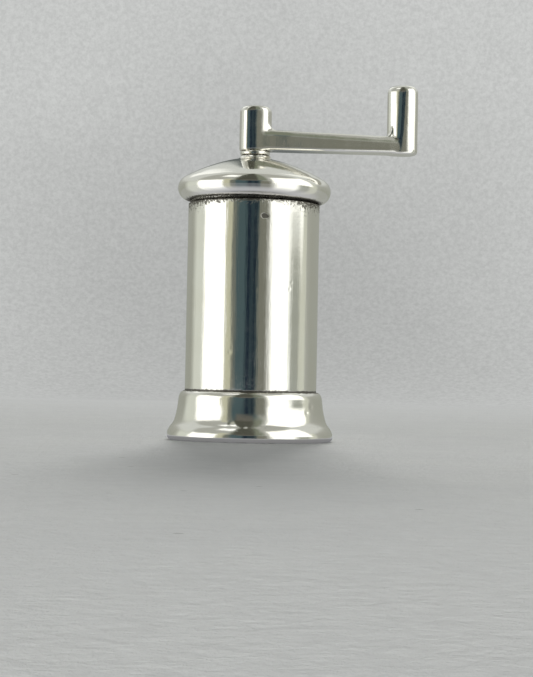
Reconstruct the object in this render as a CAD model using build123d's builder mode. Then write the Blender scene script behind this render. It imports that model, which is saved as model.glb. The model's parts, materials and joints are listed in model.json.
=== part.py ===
from build123d import *
import os
from math import cos, radians, sin, sqrt

# Miniature silver crank pepper mill, standing on its foot.
# The origin is on the barrel's axis in the plane the foot rests on, +Z is up,
# and the crank's arm points along +X. All sizes are in millimetres.

# Driving dimensions of the body.
foot_r = 9.25
foot_height = 5.5
foot_edge_r = 0.45
foot_lip_top = 0.9
foot_chamfer = 0.4
foot_flare = ((9.06, 1.2), (8.6, 2.1), (8.22, 3.2))
shoulder_r, shoulder_z = 8.03, 4.75
shoulder_lean = (-0.03, 1)
barrel_r = 7.35
barrel_wall = 0.6
barrel_top = 28.2
rebate_r = 7.05
rebate_z = 26.4
bore_r = barrel_r - barrel_wall

# Cap: a torus-shaped rim, a gently domed top and a short neck.
rim_r = 7.22
rim_z = 28.0
rim_section_r = 1.34
cap_recess_r = rebate_r + 0.15
cap_seat = barrel_top + 0.05
dome_end_r, dome_end_z = 2.0, 31.5
neck_r = 1.73
neck_top = 31.84
cap_boss_r = 2.6
cap_boss_bottom = 30.0
ceiling_at_boss = 30.55
ceiling_middle = (4.5, 30.0)
ceiling_at_sleeve = 29.2
sleeve_r = bore_r - 0.05
sleeve_wall = 0.55
sleeve_bottom = 23.4
sleeve_slots = 4
sleeve_slot_w, sleeve_slot_length = 0.5, 3.0

# Crank.
boss_r = 1.77
boss_bottom = 32.4
boss_top = 37.4
arm_at_boss = (32.5, 34.8)
arm_at_knob = (32.6, 34.42)
arm_boss_r, arm_knob_r = 1.7, 1.62
arm_lower_edge_r, arm_upper_edge_r = 0.4, 0.8
knob_x = 16.64
knob_r = 1.7
knob_bottom = 32.5
knob_top = 40.25
knob_end_r, knob_foot_r, boss_end_r = 0.7, 0.35, 0.6
washer_bottom = 31.9
washer_r = 1.64
washer_edge_r = 0.2

# Drive line.
rod_r = 0.9
running_fit = 0.05
bush_bore_r = rod_r + running_fit
pin_r = 0.25
pin_drill_extra = 1.0
pin_inset = 0.05
shaft_bottom = 27.9
shaft_top = 36.0
socket_r = 1.6
socket_bottom = 24.0
socket_top = 29.25
drive_pin_z = 28.6
square = 1.3
square_bottom = 23.5
spindle_bottom = 2.95
spindle_top = 27.3
cap_bush_r = 1.3
cap_bush_flange_r = 2.2
cap_bush_bottom = 29.5

# Burrs: matching cones that widen downwards, so lifting the rotor closes the gap.
burr_gap = 0.25
burr_slope = 0.4
throat_z = 5.3
throat_r = 3.9
stator_bottom, stator_top = 2.8, 7.2
funnel_r = 5.4
rotor_bottom = 3.1
rotor_crown = 7.4
rotor_hub_r = 1.75
rotor_top = 8.6
rotor_pin_z = 8.0
breaker_step = 0.1
crown_tip_r, crown_root_r = 1.95, 1.45
hub_overlap = 0.2
fine_teeth, fine_depth, fine_twist = 24, 0.35, 8
coarse_teeth, coarse_depth, coarse_twist = 8, 0.7, 28

# Upper bridge, spring and collar.
bridge_z = 22.0
bridge_t = 0.6
bridge_w = 1.6
eye_r = 1.9
tab_drop = 1.6
tab_t = 0.55
upper_bush_r = 1.35
upper_bush_flange = 0.5
upper_bush_top = 23.1
spring_washer_t = 0.2
spring_r = 1.4
wire_r = 0.175
spring_turns = 6
collar_bottom, collar_top = 15.0, 15.95
collar_pin_z = (collar_bottom + collar_top) / 2
spring_clear_low, spring_clear_high = 0.065, 0.035
collar_r = 1.8

# Lower bridge, screws, adjuster and thrust ball.
bar_bottom, bar_t, bar_w = 1.9, 0.6, 2.2
bar_boss_r, bar_boss_bottom, bar_boss_top = 1.9, 1.65, 2.65
screw_x = 5.85
screw_r = 0.45
screw_head_r, screw_head_t = 0.85, 0.55
pad_r = 0.78
screw_top = 4.2
slot_w, slot_depth = 0.22, 0.2
wheel_r, wheel_bottom, wheel_t = 2.25, 0.25, 0.9
wheel_teeth, knurl_depth = 36, 0.14
adjuster_r = 0.95
adjuster_hole_r = 1.0
adjuster_tip = 2.45
ball_r = 0.5
ball_z = 2.87
ball_cup_r = 0.53


def toothed(teeth, tip_r, root_r, turn=0.0):
    """Corners of a ring of V-shaped teeth, tip and root by turns."""
    corners = []
    for tooth in range(teeth):
        for radius, share in ((tip_r, 0.0), (root_r, 0.5)):
            angle = radians(turn + (tooth + share) * 360 / teeth)
            corners.append((radius * cos(angle), radius * sin(angle)))
    return corners


def finish(piece, name):
    """Labels a piece and writes its own STEP file."""
    piece.part.label = name
    export_step(piece.part, f"parts/{name}.step")


def ring(outer_r, inner_r, bottom, top):
    """A plain tube or washer about the barrel's axis, added to the piece being built."""
    with BuildSketch(Plane.XY.offset(bottom)) as section:
        Circle(outer_r)
        Circle(inner_r, mode=Mode.SUBTRACT)
    extrude(section.sketch, amount=top - bottom)


def cross_cylinder(radius, length, height, mode=Mode.ADD):
    """A round bar along X through the axis at a height, for a pin or its hole."""
    with BuildSketch(Plane.YZ) as section:
        with Locations((0, height)):
            Circle(radius)
    extrude(section.sketch, amount=length / 2, both=True, mode=mode)


os.makedirs("parts", exist_ok=True)

# Barrel: a tube standing on the foot's inner lip, rebated at the top to enter the cap.
with BuildPart() as barrel:
    ring(barrel_r, bore_r, foot_lip_top, rebate_z)
    ring(rebate_r, bore_r, rebate_z, barrel_top)
finish(barrel, "barrel")

# Foot: a cast ring with a hollow flare, a rounded shoulder and an inner lip.
with BuildPart() as flared_foot:
    with BuildSketch(Plane.XZ):
        with BuildLine():
            Polyline(
                (barrel_r, foot_height),
                (barrel_r, foot_lip_top),
                (bore_r, foot_lip_top),
                (bore_r, foot_chamfer),
                (bore_r + foot_chamfer, 0),
                (foot_r - foot_edge_r, 0),
            )
            TangentArc((foot_r - foot_edge_r, 0), (foot_r, foot_edge_r), tangent=(1, 0))
            Spline(
                (foot_r, foot_edge_r),
                *foot_flare,
                (shoulder_r, shoulder_z),
                tangents=((0, 1), shoulder_lean),
            )
            TangentArc(
                (shoulder_r, shoulder_z), (barrel_r, foot_height), tangent=shoulder_lean
            )
        make_face()
    revolve(axis=Axis.Z)
finish(flared_foot, "flared_foot")

# Stator: a ring fixed in the barrel, with a funnel above and a fine-toothed cone below.
stator_wide_r = throat_r + burr_slope * (throat_z - stator_bottom)
with BuildPart() as stator_burr:
    with BuildSketch(Plane.XY.offset(stator_bottom)):
        Circle(bore_r)
    extrude(amount=stator_top - stator_bottom)
    with BuildSketch(Plane.XY.offset(stator_bottom)):
        Polygon(*toothed(fine_teeth, stator_wide_r + fine_depth, stator_wide_r), align=None)
    with BuildSketch(Plane.XY.offset(throat_z)):
        Polygon(
            *toothed(fine_teeth, throat_r + fine_depth, throat_r, fine_twist), align=None
        )
    loft(ruled=True, mode=Mode.SUBTRACT)
    with BuildSketch(Plane.XY.offset(throat_z)):
        Polygon(
            *toothed(fine_teeth, throat_r + fine_depth, throat_r, fine_twist), align=None
        )
    with BuildSketch(Plane.XY.offset(stator_top)):
        Polygon(
            *toothed(fine_teeth, funnel_r + fine_depth, funnel_r, fine_twist), align=None
        )
    loft(ruled=True, mode=Mode.SUBTRACT)
    with BuildSketch(Plane.XY.offset(stator_bottom)):
        with Locations((screw_x, 0), (-screw_x, 0)):
            Circle(screw_r)
    extrude(amount=screw_top - stator_bottom, mode=Mode.SUBTRACT)
finish(stator_burr, "stator_burr")

# Lower bridge: a bar across the outlet with a tapped boss and two raised pads.
with BuildPart() as lower_bridge:
    with BuildSketch(Plane.XY.offset(bar_bottom)):
        Rectangle(2 * bore_r, bar_w)
        Circle(bore_r - running_fit, mode=Mode.INTERSECT)
    extrude(amount=bar_t)
    with BuildSketch(Plane.XY.offset(bar_bottom)):
        with Locations((screw_x, 0), (-screw_x, 0)):
            Circle(pad_r)
    extrude(amount=stator_bottom - bar_bottom)
    with BuildSketch(Plane.XY.offset(bar_boss_bottom)):
        Circle(bar_boss_r)
    extrude(amount=bar_boss_top - bar_boss_bottom)
    with BuildSketch(Plane.XY.offset(bar_boss_bottom)):
        Circle(adjuster_hole_r)
        with Locations((screw_x, 0), (-screw_x, 0)):
            Circle(screw_r)
    extrude(amount=stator_bottom - bar_boss_bottom, mode=Mode.SUBTRACT)
finish(lower_bridge, "lower_bridge")

# Bridge screws: two slotted screws up into the stator ring.
head_bottom = bar_bottom - screw_head_t
with BuildPart() as bridge_screws:
    with BuildSketch(Plane.XY.offset(head_bottom)):
        with Locations((screw_x, 0), (-screw_x, 0)):
            Circle(screw_head_r)
    extrude(amount=screw_head_t)
    with BuildSketch(Plane.XY.offset(bar_bottom)):
        with Locations((screw_x, 0), (-screw_x, 0)):
            Circle(screw_r)
    extrude(amount=screw_top - bar_bottom)
    with BuildSketch(Plane.XY.offset(head_bottom)):
        with Locations((screw_x, 0), (-screw_x, 0)):
            Rectangle(slot_w, 2 * screw_head_r)
    extrude(amount=slot_depth, mode=Mode.SUBTRACT)
finish(bridge_screws, "bridge_screws")

# Upper bridge: a strap across the barrel with an eye, and tabs soldered to the wall.
with BuildPart() as upper_bridge:
    with BuildSketch(Plane.XY.offset(bridge_z)):
        Rectangle(bridge_w, 2 * bore_r)
        Circle(eye_r)
        Circle(bore_r, mode=Mode.INTERSECT)
        Circle(upper_bush_r, mode=Mode.SUBTRACT)
    extrude(amount=bridge_t)
    with BuildSketch(Plane.XY.offset(bridge_z - tab_drop)):
        Circle(bore_r)
        Circle(bore_r - tab_t, mode=Mode.SUBTRACT)
        Rectangle(bridge_w, 2 * bore_r, mode=Mode.INTERSECT)
    extrude(amount=tab_drop)
finish(upper_bridge, "upper_bridge")

# Upper bush: flanged, pushed up into the bridge's eye.
flange_bottom = bridge_z - upper_bush_flange
with BuildPart() as upper_bush:
    ring(upper_bush_r, bush_bore_r, bridge_z, upper_bush_top)
    ring(eye_r, bush_bore_r, flange_bottom, bridge_z)
finish(upper_bush, "upper_bush")

# Spring washer: lies on the underside of the bush's flange.
with BuildPart() as spring_washer:
    ring(collar_r, bush_bore_r, flange_bottom - spring_washer_t, flange_bottom)
finish(spring_washer, "spring_washer")

# Spring: holds the spindle down on its adjuster.
spring_low = collar_top + wire_r + spring_clear_low
spring_high = flange_bottom - spring_washer_t - wire_r - spring_clear_high
spring_height = spring_high - spring_low
with BuildPart() as spring:
    with BuildLine() as coil:
        Helix(spring_height / spring_turns, spring_height, spring_r, center=(0, 0, spring_low))
    with BuildSketch(Plane(origin=coil.line @ 0, z_dir=coil.line % 0)):
        Circle(wire_r)
    sweep(path=coil.line, is_frenet=True)
finish(spring, "spring")

# Thrust ball: sits in the adjuster's cup and in the spindle's foot.
with BuildPart() as thrust_ball:
    with Locations((0, 0, ball_z)):
        Sphere(ball_r)
finish(thrust_ball, "thrust_ball")

# Adjusting screw: a knurled thumb wheel with a coin slot, a stem and a cupped tip.
wheel_top = wheel_bottom + wheel_t
with BuildPart() as adjusting_screw:
    with BuildSketch(Plane.XY.offset(wheel_bottom)):
        Polygon(*toothed(wheel_teeth, wheel_r, wheel_r - knurl_depth), align=None)
    extrude(amount=wheel_t)
    with BuildSketch(Plane.XY.offset(wheel_top)):
        Circle(adjuster_r)
    extrude(amount=adjuster_tip - wheel_top)
    with BuildSketch(Plane.XY.offset(wheel_bottom)):
        Rectangle(2 * slot_w, 2 * wheel_r)
    extrude(amount=slot_depth, mode=Mode.SUBTRACT)
    with Locations((0, 0, ball_z)):
        Sphere(ball_cup_r, mode=Mode.SUBTRACT)
finish(adjusting_screw, "adjusting_screw")

# Spindle: a round rod, squared at its upper end and cupped for the ball at its lower end.
with BuildPart() as spindle:
    with BuildSketch(Plane.XY.offset(spindle_bottom)):
        Circle(rod_r)
    extrude(amount=square_bottom - spindle_bottom)
    with BuildSketch(Plane.XY.offset(square_bottom)):
        Rectangle(square, square)
        Circle(rod_r, mode=Mode.INTERSECT)
    extrude(amount=spindle_top - square_bottom)
    with Locations((0, 0, ball_z)):
        Sphere(ball_cup_r, mode=Mode.SUBTRACT)
    for height in (rotor_pin_z, collar_pin_z):
        cross_cylinder(pin_r, 2 * rod_r + pin_drill_extra, height, Mode.SUBTRACT)
finish(spindle, "spindle")

# Rotor: a fine-toothed cone, coarse breaking teeth above it, and a pinned hub.
rotor_throat_r = throat_r - burr_gap
rotor_wide_r = rotor_throat_r + burr_slope * (throat_z - rotor_bottom)
with BuildPart() as rotor_burr:
    with BuildSketch(Plane.XY.offset(rotor_bottom)):
        Polygon(*toothed(fine_teeth, rotor_wide_r, rotor_wide_r - fine_depth), align=None)
    with BuildSketch(Plane.XY.offset(throat_z)):
        Polygon(
            *toothed(fine_teeth, rotor_throat_r, rotor_throat_r - fine_depth, -fine_twist),
            align=None,
        )
    loft(ruled=True)
    with BuildSketch(Plane.XY.offset(throat_z)):
        Polygon(
            *toothed(
                coarse_teeth, rotor_throat_r - breaker_step, rotor_throat_r - coarse_depth
            ),
            align=None,
        )
    with BuildSketch(Plane.XY.offset(rotor_crown)):
        Polygon(
            *toothed(coarse_teeth, crown_tip_r, crown_root_r, -coarse_twist),
            align=None,
        )
    loft(ruled=True)
    with BuildSketch(Plane.XY.offset(rotor_crown - hub_overlap)):
        Circle(rotor_hub_r)
    extrude(amount=rotor_top - rotor_crown + hub_overlap)
    with BuildSketch(Plane.XY.offset(rotor_bottom)):
        Circle(rod_r)
    extrude(amount=rotor_top - rotor_bottom, mode=Mode.SUBTRACT)
    cross_cylinder(pin_r, 2 * rotor_hub_r + pin_drill_extra, rotor_pin_z, Mode.SUBTRACT)
finish(rotor_burr, "rotor_burr")

with BuildPart() as rotor_pin:
    cross_cylinder(pin_r, 2 * (rotor_hub_r - pin_inset), rotor_pin_z)
finish(rotor_pin, "rotor_pin")

# Spring collar, pinned to the spindle.
with BuildPart() as spring_collar:
    ring(collar_r, rod_r, collar_bottom, collar_top)
    cross_cylinder(pin_r, 2 * collar_r + pin_drill_extra, collar_pin_z, Mode.SUBTRACT)
finish(spring_collar, "spring_collar")

with BuildPart() as collar_pin:
    cross_cylinder(pin_r, 2 * (collar_r - pin_inset), collar_pin_z)
finish(collar_pin, "collar_pin")

# Cap: rolled rim over the barrel's end, domed top, neck, and a boss inside for the bush.
sleeve_bore_r = sleeve_r - sleeve_wall
rim_lip_z = rim_z - sqrt(rim_section_r**2 - (cap_recess_r - rim_r) ** 2)
rim_end = 60
rim_end_at = (
    rim_r + rim_section_r * cos(radians(rim_end)),
    rim_z + rim_section_r * sin(radians(rim_end)),
)
with BuildPart() as cap_dome:
    with BuildSketch(Plane.XZ):
        with BuildLine():
            ThreePointArc(
                (cap_recess_r, rim_lip_z), (rim_r + rim_section_r, rim_z), rim_end_at
            )
            dome = TangentArc(
                rim_end_at,
                (dome_end_r, dome_end_z),
                tangent=(-sin(radians(rim_end)), cos(radians(rim_end))),
            )
            TangentArc(dome @ 1, (neck_r, neck_top), tangent=dome % 1)
            Polyline(
                (neck_r, neck_top),
                (cap_bush_r, neck_top),
                (cap_bush_r, cap_boss_bottom),
                (cap_boss_r, cap_boss_bottom),
                (cap_boss_r, ceiling_at_boss),
            )
            ThreePointArc(
                (cap_boss_r, ceiling_at_boss), ceiling_middle, (sleeve_bore_r, ceiling_at_sleeve)
            )
            Polyline(
                (sleeve_bore_r, ceiling_at_sleeve),
                (sleeve_bore_r, cap_seat),
                (cap_recess_r, cap_seat),
                (cap_recess_r, rim_lip_z),
            )
        make_face()
    revolve(axis=Axis.Z)
finish(cap_dome, "cap_dome")

# Cap sleeve: split, so that it springs against the barrel's bore.
with BuildPart() as cap_sleeve:
    ring(sleeve_r, sleeve_bore_r, sleeve_bottom, cap_seat)
    with BuildSketch(Plane.XY.offset(sleeve_bottom)):
        with PolarLocations(sleeve_r, sleeve_slots, start_angle=45):
            Rectangle(3 * sleeve_wall, sleeve_slot_w)
    extrude(amount=sleeve_slot_length, mode=Mode.SUBTRACT)
finish(cap_sleeve, "cap_sleeve")

# Cap bush: flanged, pushed up into the neck.
with BuildPart() as cap_bush:
    ring(cap_bush_r, bush_bore_r, cap_boss_bottom, neck_top)
    ring(cap_bush_flange_r, bush_bore_r, cap_bush_bottom, cap_boss_bottom)
finish(cap_bush, "cap_bush")

# Crank: boss, tapered arm and finger knob in one casting, bored for the shaft.
with BuildPart() as crank:
    with BuildSketch(Plane.XY.offset(arm_at_boss[0])):
        Circle(arm_boss_r)
        with Locations((knob_x, 0)):
            Circle(arm_knob_r)
        make_hull()
    extrude(amount=arm_at_boss[1] - arm_at_boss[0])
    arm_end = knob_x + arm_knob_r
    with BuildSketch(Plane.XZ):
        Polygon(
            (-arm_boss_r, arm_at_boss[0]),
            (arm_end, arm_at_knob[0]),
            (arm_end, arm_at_knob[1]),
            (-arm_boss_r, arm_at_boss[1]),
            align=None,
        )
    extrude(amount=2 * arm_boss_r, both=True, mode=Mode.INTERSECT)
    fillet(crank.faces().sort_by(Axis.Z)[0].edges(), arm_lower_edge_r)
    fillet(crank.faces().sort_by(Axis.Z)[-1].edges(), arm_upper_edge_r)
    with BuildSketch(Plane.XY.offset(knob_bottom)):
        with Locations((knob_x, 0)):
            Circle(knob_r)
    extrude(amount=knob_top - knob_bottom)
    fillet(crank.faces().sort_by(Axis.Z)[-1].edges(), knob_end_r)
    fillet(crank.faces().sort_by(Axis.Z)[0].edges(), knob_foot_r)
    with BuildSketch(Plane.XY.offset(boss_bottom)):
        Circle(boss_r)
    extrude(amount=boss_top - boss_bottom)
    boss_rim = crank.edges().filter_by(GeomType.CIRCLE)
    fillet(boss_rim.filter_by_position(Axis.Z, boss_top - 0.01, boss_top + 0.01), boss_end_r)
    with BuildSketch(Plane.XY.offset(boss_bottom)):
        Circle(rod_r)
    extrude(amount=shaft_top - boss_bottom, mode=Mode.SUBTRACT)
finish(crank, "crank")

# Crank shaft: fixed in the boss above and pinned to the drive socket below.
with BuildPart() as crank_shaft:
    with BuildSketch(Plane.XY.offset(shaft_bottom)):
        Circle(rod_r)
    extrude(amount=shaft_top - shaft_bottom)
    cross_cylinder(pin_r, 2 * rod_r + pin_drill_extra, drive_pin_z, Mode.SUBTRACT)
finish(crank_shaft, "crank_shaft")

# Crank washer: a rounded bead between the boss and the cap's neck.
with BuildPart() as crank_washer:
    ring(washer_r, rod_r, washer_bottom, boss_bottom)
    washer_rims = crank_washer.edges().filter_by(GeomType.CIRCLE)
    fillet(washer_rims.filter_by(lambda edge: edge.radius > rod_r + running_fit), washer_edge_r)
finish(crank_washer, "crank_washer")

# Thrust washer: between the cap bush and the drive socket.
with BuildPart() as thrust_washer:
    ring(collar_r, rod_r, socket_top, cap_bush_bottom - running_fit)
finish(thrust_washer, "thrust_washer")

# Drive socket: round bore for the shaft, square hole that slides on the spindle.
with BuildPart() as drive_socket:
    with BuildSketch(Plane.XY.offset(socket_bottom)):
        Circle(socket_r)
    extrude(amount=socket_top - socket_bottom)
    with BuildSketch(Plane.XY.offset(socket_bottom)):
        Rectangle(square + 2 * running_fit, square + 2 * running_fit)
    extrude(amount=shaft_bottom - socket_bottom, mode=Mode.SUBTRACT)
    with BuildSketch(Plane.XY.offset(shaft_bottom)):
        Circle(rod_r)
    extrude(amount=socket_top - shaft_bottom, mode=Mode.SUBTRACT)
    cross_cylinder(pin_r, 2 * socket_r + pin_drill_extra, drive_pin_z, Mode.SUBTRACT)
finish(drive_socket, "drive_socket")

with BuildPart() as drive_pin:
    cross_cylinder(pin_r, 2 * (socket_r - pin_inset), drive_pin_z)
finish(drive_pin, "drive_pin")
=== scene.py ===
import json
from math import copysign, cos, exp, pi, radians, sin

import bmesh
import bpy
from mathutils import Matrix, Quaternion, Vector, noise


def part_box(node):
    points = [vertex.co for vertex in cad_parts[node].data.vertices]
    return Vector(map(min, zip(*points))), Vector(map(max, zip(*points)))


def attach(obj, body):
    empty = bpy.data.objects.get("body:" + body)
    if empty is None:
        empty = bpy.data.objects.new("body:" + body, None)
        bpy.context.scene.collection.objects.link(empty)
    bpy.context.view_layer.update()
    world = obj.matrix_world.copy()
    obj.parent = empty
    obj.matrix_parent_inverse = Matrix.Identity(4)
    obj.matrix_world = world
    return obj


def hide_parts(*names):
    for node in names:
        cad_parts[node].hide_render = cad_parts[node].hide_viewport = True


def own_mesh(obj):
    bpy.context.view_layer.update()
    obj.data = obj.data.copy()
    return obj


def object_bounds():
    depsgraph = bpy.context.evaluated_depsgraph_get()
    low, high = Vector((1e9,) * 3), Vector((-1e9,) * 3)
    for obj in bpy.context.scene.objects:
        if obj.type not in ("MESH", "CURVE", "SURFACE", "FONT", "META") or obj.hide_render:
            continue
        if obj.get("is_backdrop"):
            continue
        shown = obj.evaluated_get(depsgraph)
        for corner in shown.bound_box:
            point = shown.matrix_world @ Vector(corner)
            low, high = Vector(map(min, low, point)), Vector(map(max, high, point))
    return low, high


# A miniature silver crank pepper mill on a pale paper sweep, in soft studio light.
# Shapes are worked out in millimetres from the CAD boxes, and built in metres.

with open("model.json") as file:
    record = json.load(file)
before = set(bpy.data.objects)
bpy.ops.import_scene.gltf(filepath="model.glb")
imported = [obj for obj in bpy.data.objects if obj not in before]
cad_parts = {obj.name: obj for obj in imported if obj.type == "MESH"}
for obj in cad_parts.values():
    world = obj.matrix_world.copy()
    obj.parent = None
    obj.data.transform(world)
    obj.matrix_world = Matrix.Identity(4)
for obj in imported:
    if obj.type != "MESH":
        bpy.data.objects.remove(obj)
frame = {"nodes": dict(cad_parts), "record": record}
cad_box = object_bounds()
MM = 0.001


def extent(node):
    """A CAD node's outer radius, bottom and top, in mm."""
    low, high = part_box(node)
    return high.y / MM, low.z / MM, high.z / MM


BARREL_R, BARREL_BOTTOM, BARREL_TOP = extent("barrel")
FOOT_R, _, FOOT_TOP = extent("flared_foot")
CAP_R, RIM_BOTTOM, NECK_TOP = extent("cap_dome")
BEAD_R, BEAD_BOTTOM, BEAD_TOP = extent("crank_washer")
BORE_R = extent("stator_burr")[0]

# Steps inside the CAD shapes that no box gives: the cap's bore, and the barrel's rebate.
BUSH_R = 1.3
REBATE_R, REBATE_Z = 7.05, 26.4

# The view: at azimuth 0 the camera looks along +Y, and at -90 along +X.
CAMERA_AZIMUTH = -4.5
CAMERA_DISTANCE = 192.0
EYE_HEIGHT = 6.8
AIM_HEIGHT = 11.43
AIM_RIGHT = 1.68
CAMERA_ROLL = 1.127
LENS = 91.2

# How far the loose cap leans from the barrel's axis, towards +X, in degrees.
CAP_LEAN = 0.8


# ---------------------------------------------------------------- mesh helpers


def ripple(x, y, z, size, seed=0.0):
    """Smooth noise from -1 to 1 with features of about size mm."""
    return noise.noise(Vector((x / size + seed, y / size - seed, z / size + 2 * seed)))


def smooth_step(low, high, value):
    share = min(1.0, max(0.0, (value - low) / (high - low)))
    return share * share * (3 - 2 * share)


def line(start, end, steps):
    """Points from start up to, but not at, end."""
    return [
        (
            start[0] + (end[0] - start[0]) * k / steps,
            start[1] + (end[1] - start[1]) * k / steps,
        )
        for k in range(steps)
    ]


def arc(centre, radius, start, end, steps):
    """Points on an arc from start up to, but not at, end, in degrees."""
    turns = [radians(start + (end - start) * k / steps) for k in range(steps)]
    return [(centre[0] + radius * cos(t), centre[1] + radius * sin(t)) for t in turns]


def flow(knots, steps):
    """A Catmull-Rom curve through the knots, up to, but not at, the last."""
    padded = [knots[0], *knots, knots[-1]]
    points = []
    for a, b, c, d in zip(padded, padded[1:], padded[2:], padded[3:]):
        for k in range(steps):
            t = k / steps
            weights = (
                -0.5 * t + t * t - 0.5 * t**3,
                1 - 2.5 * t * t + 1.5 * t**3,
                0.5 * t + 2 * t * t - 1.5 * t**3,
                -0.5 * t * t + 0.5 * t**3,
            )
            points.append(
                tuple(
                    sum(w * p[axis] for w, p in zip(weights, (a, b, c, d)))
                    for axis in (0, 1)
                )
            )
    return points


def around(angle, r, z):
    """A vertex in metres, from its angle round the axis, its radius and its height."""
    return cos(angle) * r * MM, sin(angle) * r * MM, z * MM


def wrapped_faces(columns, rows):
    """Faces of a grid of vertices, stored by columns, that closes round the axis."""
    faces = []
    for column in range(columns):
        here, there = column * rows, (column + 1) % columns * rows
        for row in range(rows - 1):
            faces.append((here + row, here + row + 1, there + row + 1, there + row))
    return faces


def mesh_object(name, vertices, faces):
    mesh = bpy.data.meshes.new(name)
    mesh.from_pydata(vertices, [], faces)
    mesh.shade_smooth()
    made = bpy.data.objects.new(name, mesh)
    bpy.context.scene.collection.objects.link(made)
    return made


def cad_copy(node, name):
    """A free copy of a CAD node's shape, to be reworked as a piece of its own."""
    made = bpy.data.objects.new(name, frame["nodes"][node].data.copy())
    bpy.context.scene.collection.objects.link(made)
    return made


def lathe(name, outline, segments, shape, stained=None):
    """A closed ring: the outline of (r, z) goes up the outside and down the inside.
    shape(r, z, angle) gives the moved (r, z), and stained(r, z, angle) the tarnish, which under the
    cap's rim is partly painted shade."""
    vertices, faces, stains, rows = [], [], [], len(outline)
    for step in range(segments):
        angle = 2 * pi * step / segments
        for flat_r, flat_z in outline:
            r, z = shape(flat_r, flat_z, angle)
            vertices.append(around(angle, r, z))
            stains.append(stained(flat_r, flat_z, angle) if stained else 0.0)
    for step in range(segments):
        here, there = step * rows, (step + 1) % segments * rows
        for row in range(rows):
            after = (row + 1) % rows
            faces.append((here + row, there + row, there + after, here + after))
    made = mesh_object(name, vertices, faces)
    made.data.attributes.new("stain", "FLOAT", "POINT").data.foreach_set("value", stains)
    return made


def lean(piece, degrees, pivot_z):
    """Turns a piece's vertices about the Y axis through a height, towards +X."""
    pivot = Vector((0, 0, pivot_z * MM))
    turn = Matrix.Rotation(radians(degrees), 4, "Y")
    piece.data.transform(Matrix.Translation(pivot) @ turn @ Matrix.Translation(-pivot))


def facing(azimuth):
    """The angle round the axis, in radians, of a spot that is this many degrees
    to the right of the side facing the camera."""
    return radians(CAMERA_AZIMUTH - 90 + azimuth)


def sideways(angle):
    """0 on the side facing the camera and on the back, 1 at its left and right edges."""
    return abs(sin(angle - facing(0)))


def dent(r, z, angle, marks):
    """How deep the surface is pressed in, in mm, by marks of (azimuth, z, size, depth)."""
    depth = 0.0
    for azimuth, mark_z, size, mark_depth in marks:
        gap = (angle - facing(azimuth) + pi) % (2 * pi) - pi
        away = ((gap * r) ** 2 + (z - mark_z) ** 2) / size**2
        if away < 9:
            depth += mark_depth * exp(-away)
    return depth


# ---------------------------------------------------------------- materials


def add(tree, kind, settings=None, **inputs):
    """A shader node with its settings and inputs. In an input's name _ stands for a space,
    and i0, i1 and so on are sockets by number."""
    node = tree.nodes.new(kind)
    for name, value in (settings or {}).items():
        setattr(node, name, value)
    for name, value in inputs.items():
        numbered = name[0] == "i" and name[1:].isdigit()
        socket = node.inputs[int(name[1:]) if numbered else name.replace("_", " ")]
        if isinstance(value, bpy.types.NodeSocket):
            tree.links.new(value, socket)
        else:
            socket.default_value = value
    return node


def maths(tree, operation, *values):
    numbered = {f"i{n}": value for n, value in enumerate(values)}
    return add(tree, "ShaderNodeMath", {"operation": operation}, **numbered).outputs[0]


def remap(tree, value, from_low, from_high, to_low, to_high, curve="LINEAR"):
    """A clamped map of a value from one range to another."""
    return add(
        tree,
        "ShaderNodeMapRange",
        {"clamp": True, "interpolation_type": curve},
        Value=value,
        From_Min=from_low,
        From_Max=from_high,
        To_Min=to_low,
        To_Max=to_high,
    ).outputs["Result"]


def blend_colour(tree, share, first, second):
    mix = add(tree, "ShaderNodeMix", {"data_type": "RGBA"}, Factor=share)
    for socket, value in ((mix.inputs[6], first), (mix.inputs[7], second)):
        if isinstance(value, bpy.types.NodeSocket):
            tree.links.new(value, socket)
        else:
            socket.default_value = (*value, 1)
    return mix.outputs[2]


def grain(tree, vector, size, detail=2.0, roughness=0.5):
    """Noise with features of about size mm, around 0.5."""
    return add(
        tree,
        "ShaderNodeTexNoise",
        Vector=vector,
        Scale=1 / (size * MM),
        Detail=detail,
        Roughness=roughness,
    ).outputs["Fac"]


def spots(tree, place, spacing, rims, inside, outside):
    """Scattered round spots about spacing mm apart, with one value in them and one outside.
    rims is where a spot's soft edge starts and ends, as shares of the spacing."""
    scale = 1 / (spacing * MM)
    cells = add(tree, "ShaderNodeTexVoronoi", {"feature": "F1"}, Vector=place, Scale=scale)
    return remap(tree, cells.outputs["Distance"], *rims, inside, outside)


def start_material(name):
    """A new material with its tree, shader, and a point's position, radius and height."""
    material = bpy.data.materials.new(name)
    material.use_nodes = True
    tree = material.node_tree
    place = add(tree, "ShaderNodeTexCoord").outputs["Object"]
    parts = add(tree, "ShaderNodeSeparateXYZ", Vector=place).outputs
    squares = [maths(tree, "MULTIPLY", parts[n], parts[n]) for n in (0, 1)]
    radius = maths(tree, "SQRT", maths(tree, "ADD", *squares))
    return material, tree, tree.nodes["Principled BSDF"], place, radius, parts[2]


def bumps(tree, shader, layers):
    """Stacks bump layers of (height, depth in mm) onto the shader's normal."""
    normal = None
    for height, depth in layers:
        bump = add(tree, "ShaderNodeBump", Height=height, Distance=depth * MM, Strength=1.0)
        if normal:
            tree.links.new(normal, bump.inputs["Normal"])
        normal = bump.outputs["Normal"]
    tree.links.new(normal, shader.inputs["Normal"])


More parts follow.
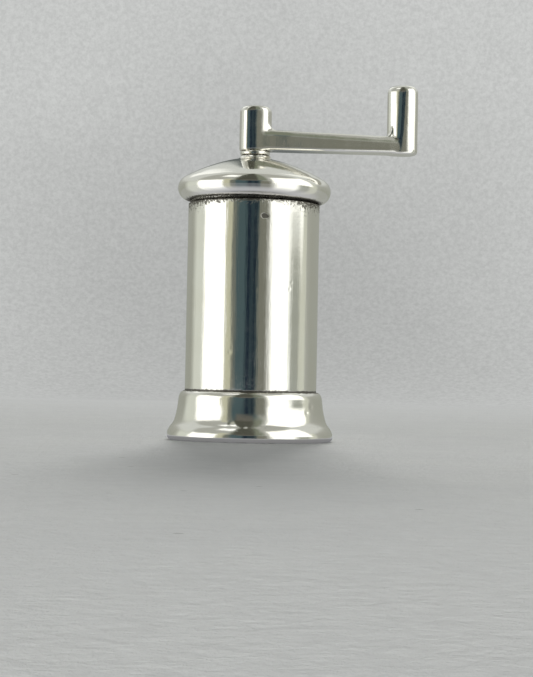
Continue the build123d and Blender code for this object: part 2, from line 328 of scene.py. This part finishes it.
def silver(name, inside_r, gloss, streaks):
    """Hand-polished sterling silver with tarnish where the mesh is stained, which under the cap's
    rim is partly painted shade.
    Within inside_r it was never polished. gloss is the roughness and streaks the polishing marks'
    depth."""
    material, tree, shader, place, radius, _ = start_material(name)
    shader.inputs["Metallic"].default_value = 1.0
    broad = grain(tree, place, 4.0, 3.0)
    smudge = grain(tree, place, 1.3, 5.0, 0.6)
    fine = grain(tree, place, 0.3, 4.0, 0.6)
    stretched = add(
        tree, "ShaderNodeMapping", Vector=place, Scale=(1.0, 1.0, 0.12), Rotation=(0.3, 0.2, 0)
    ).outputs["Vector"]
    scratch = remap(tree, grain(tree, stretched, 0.16, 2.0), 0.62, 0.72, 0.0, 1.0)

    stain = add(tree, "ShaderNodeAttribute", {"attribute_name": "stain"}).outputs["Fac"]
    speckle = maths(tree, "MULTIPLY_ADD", grain(tree, place, 0.24, 3.0, 0.65), 1.5, -0.75)
    # The tarnish mask; under the cap's rim it also carries painted shade for the gap there.
    tarnish_and_shade = remap(tree, maths(tree, "ADD", stain, speckle), 0.42, 0.62, 0.0, 1.0)
    tarnish_and_shade = maths(tree, "MULTIPLY", tarnish_and_shade, remap(tree, stain, 0.02, 0.2, 0.0, 1.0))
    raw = remap(tree, radius, (inside_r - 0.04) * MM, (inside_r + 0.02) * MM, 1.0, 0.0)

    share = remap(tree, broad, 0.3, 0.7, 0, 1)
    clean = blend_colour(tree, share, (0.95, 0.935, 0.885), (0.925, 0.90, 0.835))
    dull = blend_colour(tree, maths(tree, "MULTIPLY", raw, 0.8), clean, (0.70, 0.68, 0.62))
    colour = blend_colour(tree, maths(tree, "MULTIPLY", tarnish_and_shade, 0.9), dull, (0.09, 0.08, 0.065))
    tree.links.new(colour, shader.inputs["Base Color"])

    polish = remap(tree, smudge, 0.3, 0.75, gloss * 0.7, gloss * 1.6)
    worn = maths(tree, "ADD", polish, maths(tree, "MULTIPLY", scratch, 0.05))
    stained = maths(tree, "ADD", worn, maths(tree, "MULTIPLY", tarnish_and_shade, 0.35))
    rough = maths(tree, "ADD", stained, maths(tree, "MULTIPLY", raw, 0.25))
    tree.links.new(rough, shader.inputs["Roughness"])

    brushed = add(tree, "ShaderNodeMapping", Vector=place, Scale=(1.0, 1.0, 0.05))
    streak = grain(tree, brushed.outputs["Vector"], 0.45, 3.0, 0.6)
    layers = [
        (smudge, 0.006),
        (fine, 0.002),
        (scratch, -0.001),
        (streak, streaks),
        (tarnish_and_shade, -0.007),
    ]
    bumps(tree, shader, layers)
    return material


def turned(name, bright, stain, roughness, line_depth, stain_size=1.2):
    """Lathe-turned metal: fine rings round the axis, with stains and worn patches."""
    material, tree, shader, place, radius, height = start_material(name)
    shader.inputs["Metallic"].default_value = 1.0
    rings = add(tree, "ShaderNodeCombineXYZ", X=radius, Y=height).outputs[0]
    ring = grain(tree, rings, 0.07, 3.0, 0.7)
    stains = grain(tree, place, stain_size, 5.0, 0.62)
    speck = grain(tree, place, 0.22, 3.0, 0.6)
    share = remap(tree, stains, 0.42, 0.68, 0.0, 1.0)
    shade = blend_colour(tree, share, bright, stain)
    worn = blend_colour(tree, remap(tree, ring, 0.45, 0.75, 0.0, 0.35), shade, stain)
    tree.links.new(worn, shader.inputs["Base Color"])
    base = remap(tree, stains, 0.3, 0.7, roughness * 0.75, roughness * 1.35)
    rough = maths(tree, "ADD", base, maths(tree, "MULTIPLY", speck, 0.08))
    tree.links.new(rough, shader.inputs["Roughness"])
    bumps(tree, shader, [(ring, line_depth), (speck, line_depth * 0.6)])
    return material


def paper(name):
    """Pale, slightly cool paper with fibres, a soft tooth and a few dark specks. It glows
    further out, so that it runs into the sweep behind with no horizon."""
    material, tree, shader, place, radius, height = start_material(name)
    cloud = remap(tree, grain(tree, place, 14.0, 3.0), 0.3, 0.7, 0.0, 1.0)
    mottle = remap(tree, grain(tree, place, 2.4, 5.0, 0.7), 0.36, 0.64, 0.0, 0.22)
    speck = spots(tree, place, 7.0, (0.03, 0.045), 0.45, 0.0)
    clouded = blend_colour(tree, cloud, PAPER_COLOUR, PAPER_SHADE)
    mottled = blend_colour(tree, mottle, clouded, PAPER_MOTTLE)
    spotted = blend_colour(tree, speck, mottled, PAPER_SPECK)
    tree.links.new(spotted, shader.inputs["Base Color"])
    shader.inputs["Roughness"].default_value = 0.85
    shader.inputs["Specular IOR Level"].default_value = 0.2
    bumps(tree, shader, [(grain(tree, place, 0.9, 6.0, 0.7), 0.3)])

    lifted = remap(tree, height, 0.0, SWEEP_COVE * MM, 0.0, 1.0)
    far = remap(tree, radius, GLOW_START * MM, GLOW_FULL * MM, 0.0, 1.0)
    strength = paper_glow(tree, place, height)
    glow = add(tree, "ShaderNodeEmission", Color=(*TENT_COLOUR, 1), Strength=strength)
    share = maths(tree, "MAXIMUM", far, lifted)
    mixed = add(tree, "ShaderNodeMixShader", Fac=share, i1=shader.outputs[0], i2=glow.outputs[0])
    tree.links.new(mixed.outputs[0], tree.nodes["Material Output"].inputs["Surface"])
    return material


def paper_glow(tree, place, height):
    """The far paper's light: grain, specks, a painted shadow behind the mill, and painted shade that
    dims it low down.
    """
    weave = remap(tree, grain(tree, place, 1.5, 6.0, 0.75), 0.38, 0.62, 0.915, 1.075)
    drift = remap(tree, grain(tree, place, 60.0, 3.0), 0.3, 0.7, 0.975, 1.025)
    speck = spots(tree, place, 42.0, (0.012, 0.022), 0.55, 1.0)
    # A painted shadow: the glow is dimmed round a spot on the sweep behind the mill.
    behind = Vector(around(facing(180), SWEEP_R, PAINTED_SHADOW_HEIGHT))
    offset = add(tree, "ShaderNodeVectorMath", {"operation": "SUBTRACT"}, i0=place, i1=behind)
    reach = add(tree, "ShaderNodeVectorMath", {"operation": "LENGTH"}, i0=offset.outputs[0])
    distance = reach.outputs["Value"]
    shade = remap(tree, distance, 0.0, PAINTED_SHADOW_REACH * MM, PAINTED_SHADOW_DEPTH, 1.0, "SMOOTHERSTEP")
    # Painted shade: the glow dims towards the floor.
    rise = remap(tree, height, 0.0, LOW_SHADE_HEIGHT * MM, LOW_SHADE_DEPTH, 1.0)
    strength = weave
    for factor in (drift, speck, shade, rise):
        strength = maths(tree, "MULTIPLY", strength, factor)
    return strength


# ---------------------------------------------------------------- silver pieces


def build_barrel():
    """Tube with hand-polished waviness, a rough solder band under the cap, a few knocks."""
    edge = 0.1
    outline = (
        line((BARREL_R, BARREL_BOTTOM), (BARREL_R, REBATE_Z - edge), 180)
        + arc((BARREL_R - edge, REBATE_Z - edge), edge, 0, 90, 4)
        + line((BARREL_R - edge, REBATE_Z), (REBATE_R, REBATE_Z), 2)
        + line((REBATE_R, REBATE_Z), (REBATE_R, BARREL_TOP), 6)
        + line((REBATE_R, BARREL_TOP), (BORE_R, BARREL_TOP), 2)
        + line((BORE_R, BARREL_TOP), (BORE_R, BARREL_BOTTOM), 30)
        + line((BORE_R, BARREL_BOTTOM), (BARREL_R, BARREL_BOTTOM), 2)
    )
    marks = [
        # azimuth, height, size, depth: the dark mark, two scratches, then dents
        (8.4, 24.55, 0.24, 0.03),
        (11.0, 24.45, 0.15, 0.03),
        (33.2, 16.7, 0.12, 0.02),
        (34.8, 17.4, 0.10, 0.018),
        (-19.0, 9.7, 0.2, 0.012),
        (21.6, 7.8, 0.2, 0.012),
        (-58.0, 14.0, 0.3, 0.008),
        (140.0, 12.0, 0.3, 0.02),
        (200.0, 20.0, 0.25, 0.02),
    ]
    collar = 1.6

    def shape(r, z, angle):
        if r < REBATE_R + 0.01:
            return r, z
        x, y = r * cos(angle), r * sin(angle)
        wave = 0.010 * ripple(x, y, z, 6.0, 3.1) + 0.0035 * ripple(x, y, z, 1.9, 5.3)
        wave += 0.04 * ripple(x, y, 0.6 * z, 11.0, 7.9)
        solder = smooth_step(REBATE_Z - collar, REBATE_Z - 0.1, z)
        solder *= 0.25 + 0.75 * sideways(angle) ** 2
        lumps = -0.035 * solder * abs(ripple(x, y, z, 0.45, 1.9))
        heel = smooth_step(FOOT_TOP + 0.35, FOOT_TOP, z) * 0.02 * ripple(x, y, z, 0.9, 6.4)
        return r + wave + lumps + heel - dent(r, z, angle, marks), z

    def stained(r, z, angle):
        if r < REBATE_R + 0.01:
            # Inside: the rebate under the cap is darkened, partly as painted shade in the gap under
            # the rim; the bore is lightly tarnished.
            return 0.52 if z > REBATE_Z - 0.01 and r > BORE_R + 0.05 else 0.3
        x, y = r * cos(angle), r * sin(angle)
        # Tarnish under the cap's rim, partly painted shade in the gap there; it reaches further down
        # at the left and right edges as the camera sees them.
        reach = collar * (0.35 + 0.9 * sideways(angle) ** 2)
        reach *= 1 + 0.6 * ripple(x, y, 0, 2.5, 4.4)
        top = 0.8 * exp(-max(0.0, REBATE_Z - z) / max(0.2, reach)) ** 1.3
        low = 0.75 * exp(-(((z - FOOT_TOP) / 0.12) ** 2)) + 0.3 * exp(-abs(z - FOOT_TOP) / 0.5)
        dark, faint = dent(r, z, angle, marks[:2]), dent(r, z, angle, marks[2:4])
        return max(top, low, 70 * dark, 12 * faint)

    return lathe("barrel_tube", outline, 384, shape, stained)


def build_foot():
    """Cast foot: rounded shoulder, hollow flare, rolled lower edge, hand-filed surface."""
    roll, chamfer = 0.5, 0.4
    seat_r = BARREL_R - 0.02
    flare = [
        (FOOT_R, roll),
        (FOOT_R - 0.03, 0.8),
        (9.1, 1.15),
        (8.9, 1.5),
        (8.66, 1.8),
        (8.48, 2.15),
        (8.34, 2.6),
        (8.2, 3.2),
        (8.1, 3.8),
        (8.04, 4.4),
        (7.98, 4.85),
        (7.84, 5.2),
        (7.6, 5.41),
        (seat_r, FOOT_TOP - 0.02),
    ]
    outline = (
        arc((FOOT_R - roll, roll), roll, -90, 0, 10)
        + flow(flare, 7)
        + line((seat_r, FOOT_TOP - 0.02), (seat_r, BARREL_BOTTOM), 12)
        + line((seat_r, BARREL_BOTTOM), (BORE_R, BARREL_BOTTOM), 2)
        + line((BORE_R, BARREL_BOTTOM), (BORE_R, chamfer), 3)
        + line((BORE_R, chamfer), (BORE_R + chamfer, 0.0), 3)
        + line((BORE_R + chamfer, 0.0), (FOOT_R - roll, 0.0), 5)
    )
    knocks = [
        # azimuth, height, size, depth
        (56.0, 3.9, 0.35, 0.045),
        (49.0, 3.3, 0.25, 0.04),
        (60.0, 2.9, 0.2, 0.03),
        (64.0, 4.3, 0.25, 0.02),
        (-14.0, 1.9, 0.35, 0.05),
        (-4.0, 1.75, 0.3, 0.03),
        (-88.0, 5.35, 0.2, 0.16),
        (150.0, 3.0, 0.4, 0.04),
        (205.0, 2.2, 0.5, 0.05),
    ]

    def shape(r, z, angle):
        if r < BARREL_R or z < 0.02:
            return r, z
        x, y = r * cos(angle), r * sin(angle)
        filed = 0.045 * ripple(x, y, z, 3.2, 4.2) + 0.014 * ripple(x, y, z, 1.3, 7.7)
        seam = smooth_step(FOOT_TOP - 0.45, FOOT_TOP - 0.08, z)
        solder = seam * (0.035 * ripple(x, y, z, 0.6, 2.6) + 0.04 * ripple(x, y, z, 2.0, 9.1))
        return r + filed * (1 - 0.6 * seam) - dent(r, z, angle, knocks), z + solder

    def stained(r, z, angle):
        if r < BARREL_R + 0.3:
            return 0.7
        x, y = r * cos(angle), r * sin(angle)
        seam = 0.8 * exp(-(((z - FOOT_TOP) / 0.14) ** 2))
        fold = 0.42 * exp(-(((z - 1.72) / 0.22) ** 2))
        fold *= smooth_step(-0.2, 0.4, ripple(x, y, 0, 3.0, 2.9))
        under = 0.6 * exp(-z / 0.12)
        return max(seam, fold, under, 8 * dent(r, z, angle, knocks))

    return lathe("foot_casting", outline, 384, shape, stained)


def build_cap():
    """Domed cap: rolled rim, gentle cone-like dome, short flared neck."""
    section = 1.34
    rim_r, rim_z = CAP_R - section, RIM_BOTTOM + section
    recess_r, seat_z = REBATE_R + 0.15, BARREL_TOP + 0.05
    neck_r = BEAD_R + 0.09
    boss_r, boss_z, ceiling_z = 2.6, 30.0, 30.55
    sleeve_r, sleeve_z = 6.15, 29.2
    rim_end = 60
    crown = [
        (rim_r + section * cos(radians(rim_end)), rim_z + section * sin(radians(rim_end))),
        (7.0, 29.67),
        (5.84, 30.21),
        (4.3, 30.82),
        (3.0, 31.22),
        (2.2, 31.42),
        (1.86, 31.56),
        (neck_r, 31.76),
        (neck_r - 0.02, NECK_TOP - 0.06),
    ]
    outline = (
        arc((rim_r, rim_z), section, -91, rim_end, 46)
        + flow(crown, 9)
        + line((neck_r - 0.06, NECK_TOP), (BUSH_R, NECK_TOP), 3)
        + line((BUSH_R, NECK_TOP), (BUSH_R, boss_z), 6)
        + line((BUSH_R, boss_z), (boss_r, boss_z), 4)
        + line((boss_r, boss_z), (boss_r, ceiling_z), 2)
        + flow([(boss_r, ceiling_z), (4.5, 30.0), (sleeve_r, sleeve_z)], 6)
        + line((sleeve_r, sleeve_z), (sleeve_r, seat_z), 3)
        + line((sleeve_r, seat_z), (recess_r, seat_z), 3)
        + line((recess_r, seat_z), (recess_r, RIM_BOTTOM), 4)
    )

    def hidden(r, z):
        """Whether a point is in the recess over the barrel, or under the dome."""
        recess = z < seat_z + 1.05
        ceiling = r < sleeve_r + 0.01 and z < 32.0 - 0.33 * r
        return r < recess_r + 0.01 and (recess or ceiling)

    def shape(r, z, angle):
        if hidden(r, z) or r < BUSH_R + 0.01:
            return r, z
        x, y = r * cos(angle), r * sin(angle)
        wave = 0.026 * ripple(x, y, z, 3.8, 6.6) + 0.007 * ripple(x, y, z, 1.5, 2.2)
        return r + wave * 0.6, z + wave * 0.6

    def stained(r, z, angle):
        # Tarnish at the rim's lower edge, partly painted shade in the gap over the barrel.
        lip_tarnish_and_shade = 0.85 * exp(-max(0.0, z - RIM_BOTTOM) / 0.14)
        neck = 0.6 * exp(-(((z - NECK_TOP) / 0.09) ** 2))
        return max(lip_tarnish_and_shade, neck, 0.6 if hidden(r, z) else 0.0)

    made = lathe("cap_casting", outline, 320, shape, stained)
    lean(made, CAP_LEAN, rim_z)
    return made


def build_bead():
    """Rounded bead between the crank's boss and the cap's neck."""
    half = (BEAD_TOP - BEAD_BOTTOM) / 2
    middle = BEAD_BOTTOM + half
    inner = 0.9
    outline = (
        arc((BEAD_R - half * 0.8, middle), half, -80, 80, 14)
        + line((BEAD_R - half * 0.7, BEAD_TOP), (inner, BEAD_TOP), 4)
        + line((inner, BEAD_TOP), (inner, BEAD_BOTTOM), 3)
        + line((inner, BEAD_BOTTOM), (BEAD_R - half * 0.7, BEAD_BOTTOM), 4)
    )

    def shape(r, z, angle):
        return r + 0.02 * ripple(r * cos(angle), r * sin(angle), z, 1.2, 3.3) * (r > 1.2), z

    made = lathe("neck_bead", outline, 128, shape)
    lean(made, CAP_LEAN / 2, BEAD_BOTTOM)
    return made


def build_crank():
    """The crank casting: the CAD shape with its corners flowed together and hand-filed."""
    swell = 0.03
    made = cad_copy("crank", "crank_casting")
    for vertex in made.data.vertices:
        vertex.co = crank_draft(vertex.co / MM) * MM
    join_gussets(made.data)
    remesh = made.modifiers.new("voxels", "REMESH")
    remesh.mode, remesh.voxel_size = "VOXEL", 0.085 * MM
    settle = made.modifiers.new("settle", "SMOOTH")
    settle.factor, settle.iterations = 0.5, 26
    evaluated = made.evaluated_get(bpy.context.evaluated_depsgraph_get())
    mesh = bpy.data.meshes.new_from_object(evaluated)
    made.modifiers.clear()
    made.data = mesh
    mesh.shade_smooth()
    normals = [vertex.normal.copy() for vertex in mesh.vertices]
    stains = []
    for vertex, normal in zip(mesh.vertices, normals):
        x, y, z = vertex.co / MM
        filed = 0.02 * ripple(x, y, z, 2.4, 5.5) + 0.007 * ripple(x, y, z, 1.0, 1.2)
        vertex.co += normal * (filed + swell) * MM
        stains.append(0.75 * exp(-max(0.0, z - BEAD_TOP) / 0.1) * (abs(x) < 2.2))
    mesh.attributes.new("stain", "FLOAT", "POINT").data.foreach_set("value", stains)
    return made


def join_gussets(mesh):
    """Adds the hollow corner fillets above the arm at the boss and at the knob."""
    corners = [
        # x, z, the side it opens to, size, half its width
        (1.35, 34.55, 1, 1.35, 1.15),
        (15.3, 34.2, -1, 1.25, 1.1),
    ]
    shaped = bmesh.new()
    shaped.from_mesh(mesh)
    for corner_x, corner_z, side, size, half_width in corners:
        turns = [radians(90 * k / 8) for k in range(9)]
        profile = [(corner_x, corner_z)] + [
            (corner_x + side * size * (1 - sin(t)), corner_z + size * (1 - cos(t)))
            for t in turns
        ]
        front = [shaped.verts.new(Vector((x, -half_width, z)) * MM) for x, z in profile]
        back = [shaped.verts.new(Vector((x, half_width, z)) * MM) for x, z in profile]
        shaped.faces.new(front)
        shaped.faces.new(back[::-1])
        for k in range(len(profile)):
            after = (k + 1) % len(profile)
            shaped.faces.new((front[k], back[k], back[after], front[after]))
    bmesh.ops.recalc_face_normals(shaped, faces=shaped.faces)
    shaped.to_mesh(mesh)
    shaped.free()


def crank_draft(point):
    """The arm's sides lean in towards its top, and the boss and the knob's base are
    pressed a little flat at the front and back, as they come from the mould."""
    x, y, z = point
    arm_bottom, arm_top, boss_side, knob_x = 32.5, 34.8, 2.0, 16.64
    widening, draft, flat, press = 1.02, 0.24, 1.36, 0.65
    rise = min(1.0, max(0.0, (z - arm_bottom) / (arm_top - arm_bottom)))
    along = smooth_step(boss_side - 1, boss_side + 1, x) * smooth_step(knob_x + 2, knob_x - 2, x)
    y *= widening - draft * rise * along
    pressed = 1.0 if x < boss_side else smooth_step(arm_top + 0.4, arm_top - 0.4, z)
    over = abs(y) - flat
    if over > 0:
        y = copysign(flat + over - press * pressed * over, y)
    return Vector((x, y, z))


def build_spring():
    """The coil spring, on a mesh of its own. In the mill it shortens as the collar under it rises.
    """
    made = cad_copy("spring", "coil_spring")
    made.data.shade_smooth()
    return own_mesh(made)


# ---------------------------------------------------------------- set and light

# Paper: its own colours, and the light of the sweep behind, with a painted shadow in a round patch
# and painted shade low down.
PAPER_COLOUR, PAPER_SHADE = (0.725, 0.735, 0.725), (0.69, 0.70, 0.695)
PAPER_MOTTLE, PAPER_SPECK = (0.55, 0.56, 0.55), (0.2, 0.2, 0.19)
TENT_COLOUR = (0.565, 0.575, 0.565)
SWEEP_R, SWEEP_COVE, SWEEP_TOP = 420.0, 90.0, 480.0
GLOW_START, GLOW_FULL = 45.0, 330.0
# The painted shadow behind the mill, and the painted shade low down on the sweep.
PAINTED_SHADOW_HEIGHT, PAINTED_SHADOW_REACH, PAINTED_SHADOW_DEPTH = 30.0, 150.0, 0.82
LOW_SHADE_HEIGHT, LOW_SHADE_DEPTH = 110.0, 0.91

# The room that the silver reflects, and how silver turns its light into display tones.
ROOM_RADIUS, ROOM_EYE = 235.0, 6.8
DISPLAY_GAMMA, SILVER_MEAN = 2.2, (0.94, 0.92, 0.865)

# The rear light: a sun of some degrees across, and the weak fill of the world.
REAR_STRENGTH, REAR_AZIMUTH, REAR_HEIGHT, REAR_SIZE = 3.2, 178.0, 20.0, 15.0
REAR_COLOUR, WORLD_COLOUR = (1.0, 0.99, 0.97), (0.62, 0.62, 0.60, 1)
WORLD_STRENGTH = 0.11


def build_sweep():
    """The paper sweep: a round floor that curves up into a wall all the way round."""
    profile = (
        line((0.001, 0.0), (60.0, 0.0), 12)
        + line((60.0, 0.0), (SWEEP_R - SWEEP_COVE, 0.0), 12)
        + arc((SWEEP_R - SWEEP_COVE, SWEEP_COVE), SWEEP_COVE, -90, 0, 16)
        + [(SWEEP_R, SWEEP_COVE), (SWEEP_R, SWEEP_TOP)]
    )
    columns = 96
    turns = [2 * pi * column / columns for column in range(columns)]
    vertices = [around(turn, r, z) for turn in turns for r, z in profile]
    made = mesh_object("paper_sweep", vertices, wrapped_faces(columns, len(profile)))
    made.data.materials.append(paper("sweep_paper"))
    made.visible_glossy = made.visible_shadow = False
    made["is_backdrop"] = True


def tone(red, green, blue):
    """A tone that the silver shows, from display values of 0 to 255."""
    return Vector((red, green, blue)) / 255


# Patches of the room that the silver reflects, later ones over earlier ones:
# azimuths to the right of the camera and heights over the horizon in degrees,
# how soft the edges are, and the tone the silver shows.
ROOM_BASE = tone(162, 162, 152)
ROOM = [
    ("paper behind", (96, 264), (22, 90), 12, tone(196, 197, 188)),
    ("shade behind", (112, 248), (-90, 14), 26, tone(149, 150, 138)),
    ("glow left", (-122, -88), (-40, 24), 18, tone(200, 202, 188)),
    ("glow right", (87, 106), (-40, 24), 5, tone(192, 193, 176)),
    ("lamp behind left", (195, 228), (36, 60), 8, tone(250, 250, 240)),
    ("lamp behind right", (126, 158), (40, 62), 8, tone(240, 240, 228)),
    ("strip behind", (176, 186), (-20, 50), 3, tone(92, 96, 92)),
    ("ceiling lamp", (-62, -10), (50, 66), 5, tone(268, 267, 256)),
    ("left softbox", (-93, -47), (-40, 27), 5, tone(284, 283, 270)),
    ("left softbox hot", (-74, -54), (-40, 20), 10, tone(310, 309, 300)),
    ("right softbox", (28, 96), (8, 52), 6, tone(282, 281, 268)),
    ("window frame", (60, 88), (-10, 9), 8, tone(150, 152, 140)),
    ("low softbox", (30, 68), (-40, 11), 12, tone(284, 284, 272)),
    ("curtain", (-47, -34), (-40, 34), 3, tone(182, 180, 154)),
    ("olive board", (-30, 20), (25, 88), 5, tone(116, 120, 104)),
    ("hood", (-27, 6), (24, 86), 4, tone(76, 76, 67)),
    ("curtain edge", (-36, -25), (-40, 25), 3, tone(104, 106, 96)),
    ("teal board", (-28, 12), (-40, 25), 3, tone(70, 85, 86)),
    ("brown edge", (-20, 4), (21, 29), 3, tone(98, 95, 86)),
    ("board edge", (8, 23), (-40, 22), 4, tone(113, 113, 101)),
    ("dark core", (-12, 8), (-40, 22), 3, tone(50, 62, 65)),
    ("navy fold", (-9, -5), (-40, 21), 2, tone(26, 34, 46)),
    ("second fold", (1, 4), (-40, 21), 2, tone(30, 38, 46)),
]


def room_light(azimuth, height):
    """The room's linear light in a direction, in degrees."""
    colour = ROOM_BASE.copy()
    for _, (left, right), (low, high), soft, patch in ROOM:
        middle, half = (left + right) / 2, (right - left) / 2
        aside = abs((azimuth - middle + 180) % 360 - 180)
        above = abs(height - (low + high) / 2) - (high - low) / 2
        share = smooth_step(soft / 2, -soft / 2, aside - half)
        share *= smooth_step(soft / 2, -soft / 2, above)
        colour = colour.lerp(patch, share)
    return reflected(colour)


def reflected(shown):
    """The linear light that the silver shows as these tones."""
    return Vector([max(0.0, value) ** DISPLAY_GAMMA / own for value, own in zip(shown, SILVER_MEAN)])


def build_room():
    """A dome seen only by the silver, painted with softboxes, boards and curtains."""
    step, lowest, highest = 1.5, -6, 89.9
    columns, rows = int(360 / step), int((90 - lowest) / step) + 1
    vertices, colours = [], []
    for column in range(columns):
        for row in range(rows):
            height = min(highest, row * step + lowest)
            up = radians(height)
            z = ROOM_EYE + ROOM_RADIUS * sin(up)
            vertices.append(around(facing(column * step), ROOM_RADIUS * cos(up), z))
            colours.extend((*room_light(column * step, height), 1.0))
    finish_glow("studio_room", vertices, wrapped_faces(columns, rows), colours)


def build_table():
    """The tabletop as the silver sees it: paper near by with a painted shadow, darkest under the
    foot's edge, with painted reflections of the boards and softboxes reaching in over it from
    further out."""
    columns, rings, edge = 240, 40, ROOM_RADIUS * 1.05
    reach_start, reach_full, reach_most = 13, 62, 0.8
    vertices, colours = [], []
    for column in range(columns):
        azimuth = column * 360 / columns
        for ring in range(rings + 1):
            r = edge * (ring / rings) ** 2
            vertices.append(around(facing(azimuth), r, 0.0))
            # Painted reflections of the room reach in over the paper further out.
            reach = reach_most * smooth_step(reach_start, reach_full, r)
            colours.extend((*paper_light(r).lerp(room_light(azimuth, 0), reach), 1.0))
    finish_glow("studio_table", vertices, wrapped_faces(columns, rings + 1), colours)


def paper_light(r):
    """Linear light of the paper at a distance from the axis, with a painted shadow near the foot."""
    away = max(0.0, r - FOOT_R)
    # Painted shadow: darker towards the foot's edge.
    shown = 184 - 50 * exp(-away / 2.5) - 18 * exp(-away / 12)
    return reflected(tone(shown, shown, shown))


def finish_glow(name, vertices, faces, colours):
    """A glowing stage piece with a colour at each vertex, seen only by the silver."""
    made = mesh_object(name, vertices, faces)
    light = made.data.attributes.new("light", "FLOAT_COLOR", "POINT")
    light.data.foreach_set("color", colours)
    material = bpy.data.materials.new(name)
    material.use_nodes = True
    tree = material.node_tree
    tree.nodes.remove(tree.nodes["Principled BSDF"])
    colour = add(tree, "ShaderNodeAttribute", {"attribute_name": "light"}).outputs["Color"]
    glow = add(tree, "ShaderNodeEmission", Color=colour, Strength=1.0).outputs[0]
    tree.links.new(glow, tree.nodes["Material Output"].inputs["Surface"])
    made.data.materials.append(material)
    made.visible_camera = made.visible_diffuse = made.visible_shadow = False
    made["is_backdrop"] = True


def build_light():
    """The room and table for the silver, and a soft rear light for the paper's shadows."""
    build_room()
    build_table()
    lamp = bpy.data.lights.new("rear_light", "SUN")
    lamp.energy, lamp.angle, lamp.color = REAR_STRENGTH, radians(REAR_SIZE), REAR_COLOUR
    made = bpy.data.objects.new("rear_light", lamp)
    bpy.context.scene.collection.objects.link(made)
    turn, up = facing(REAR_AZIMUTH), radians(REAR_HEIGHT)
    towards = Vector((cos(turn) * cos(up), sin(turn) * cos(up), sin(up)))
    made.rotation_mode = "QUATERNION"
    made.rotation_quaternion = towards.to_track_quat("Z", "Y")
    made.visible_glossy = made.visible_camera = False
    made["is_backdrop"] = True
    world = bpy.data.worlds.new("studio")
    bpy.context.scene.world = world
    world.use_nodes = True
    background = world.node_tree.nodes["Background"].inputs
    background["Color"].default_value = WORLD_COLOUR
    background["Strength"].default_value = WORLD_STRENGTH


def build_camera():
    """The camera: close, low beside the barrel's lower end and looking slightly up."""
    turn = radians(CAMERA_AZIMUTH)
    right = Vector((cos(turn), sin(turn), 0))
    place = Vector((sin(turn) * CAMERA_DISTANCE, -cos(turn) * CAMERA_DISTANCE, EYE_HEIGHT))
    target = Vector((0, 0, AIM_HEIGHT)) + right * AIM_RIGHT
    camera = bpy.data.objects.new("camera", bpy.data.cameras.new("camera"))
    bpy.context.scene.collection.objects.link(camera)
    camera.location = place * MM
    look = (target - place).to_track_quat("-Z", "Y")
    camera.rotation_mode = "QUATERNION"
    camera.rotation_quaternion = look @ Quaternion((0, 0, 1), radians(CAMERA_ROLL))
    camera.data.sensor_width = 36.0
    camera.data.lens = LENS
    camera.data.clip_start, camera.data.clip_end = 0.005, 5.0
    bpy.context.scene.camera = camera


# ---------------------------------------------------------------- assembly

finishes = {
    "silver": silver("sleeve_silver", 6.3, 0.12, 0.004),
    "steel": turned("turned_steel", (0.62, 0.62, 0.63), (0.40, 0.39, 0.38), 0.26, 0.004),
    "burr_steel": turned("burr_steel", (0.42, 0.42, 0.43), (0.20, 0.19, 0.18), 0.38, 0.008, 0.7),
    "spring_steel": turned("spring_steel", (0.50, 0.51, 0.54), (0.28, 0.25, 0.22), 0.24, 0.002),
    "brass": turned("turned_brass", (0.82, 0.64, 0.32), (0.52, 0.36, 0.16), 0.26, 0.004),
}

PIECES = [
    # builder, the CAD node it stands for, body, material
    # (silver takes a name, the radius where polish ends, roughness and streak depth)
    (build_barrel, "barrel", "housing", silver("barrel_silver", 7.04, 0.09, 0.011)),
    (build_foot, "flared_foot", "housing", silver("foot_silver", 7.3, 0.11, 0.002)),
    (build_cap, "cap_dome", "cap", silver("cap_silver", 1.3, 0.09, 0.0015)),
    (build_bead, "crank_washer", "crank_set", silver("bead_silver", 0.95, 0.09, 0.0005)),
    (build_crank, "crank", "crank_set", silver("crank_silver", 0.0, 0.11, 0.001)),
    (build_spring, "spring", "housing", finishes["spring_steel"]),
]

slots = {part["node"]: part["material_slot"] for part in frame["record"]["subparts"]}
for build, node, body, material in PIECES:
    piece = build()
    piece.data.materials.clear()
    piece.data.materials.append(material)
    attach(piece, body)
    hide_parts(node)
    slots.pop(node)
for node, slot in slots.items():
    for material_slot in frame["nodes"][node].material_slots:
        material_slot.material = finishes[slot]

build_sweep()
build_light()
build_camera()
bpy.context.scene.view_settings.view_transform = "Standard"

visual_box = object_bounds()
boxes = {"cad": cad_box, "visual": visual_box}
{name: [list(low), list(high)] for name, (low, high) in boxes.items()}
